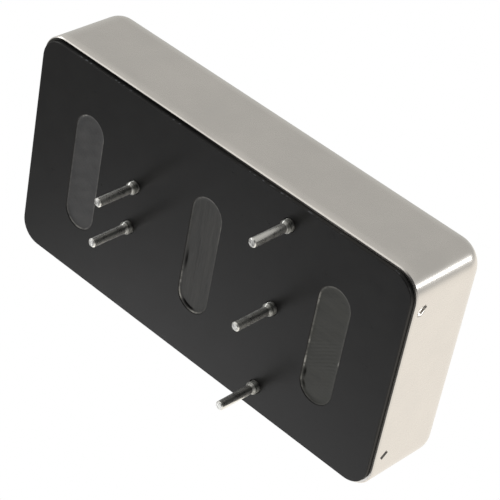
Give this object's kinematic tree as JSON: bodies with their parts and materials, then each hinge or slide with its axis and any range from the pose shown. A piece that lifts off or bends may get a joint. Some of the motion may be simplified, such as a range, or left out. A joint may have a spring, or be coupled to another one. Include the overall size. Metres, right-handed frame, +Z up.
{
  "type": "dc-dc converter",
  "caption": "Potted isolated dc-dc converter module: drawn nickel can, black base plate with potted filling slots, and round shouldered pins for through-hole mounting",
  "frame": {"origin": "centre of the base plate's outer face, which is the seating plane on the customer's board", "axes": "+X along the module from the input pins to the output pins, +Y across it towards the positive pins, +Z up through the can's lid; the pins point to -Z"},
  "size_m": [0.052, 0.0264, 0.0161],
  "materials": {
    "nickel_can": "bright nickel plate over drawn metal, slightly hazy",
    "black_moulding": "satin black moulded plastic",
    "epoxy": "dark grey cured epoxy, satin and a little uneven",
    "tinned_pin": "bright tinned metal",
    "tinned_lead": "matt tin",
    "board_laminate": "green glass-epoxy laminate",
    "ferrite": "ground ferrite",
    "bobbin_moulding": "dark moulded plastic",
    "copper_wire": "enamelled copper wire",
    "pressed_powder": "pressed powder, matt grey",
    "package_moulding": "black moulding compound",
    "resistor_body": "dark ceramic chip",
    "capacitor_body": "tan ceramic chip"
  },
  "bodies": {
    "root": {"can": "nickel_can", "base_plate": "black_moulding", "potting": "epoxy", "input_positive_pin": "tinned_pin", "input_negative_pin": "tinned_pin", "output_positive_pin": "tinned_pin", "output_common_pin": "tinned_pin", "output_negative_pin": "tinned_pin", "circuit_board": "board_laminate", "transformer_core_lower": "ferrite", "transformer_core_upper": "ferrite", "transformer_bobbin": "bobbin_moulding", "transformer_terminals": "tinned_lead", "primary_winding": "copper_wire", "secondary_winding": "copper_wire", "input_choke": "pressed_powder", "positive_choke": "pressed_powder", "negative_choke": "pressed_powder", "switching_transistor": "package_moulding", "control_chip": "package_moulding", "optocoupler": "package_moulding", "voltage_reference": "package_moulding", "positive_rectifier": "package_moulding", "negative_rectifier": "package_moulding", "current_sense_resistor": "resistor_body", "chip_resistors": "resistor_body", "input_capacitors": "capacitor_body", "positive_output_capacitors": "capacitor_body", "negative_output_capacitors": "capacitor_body", "chip_capacitors": "capacitor_body"}
  },
  "joints": []
}
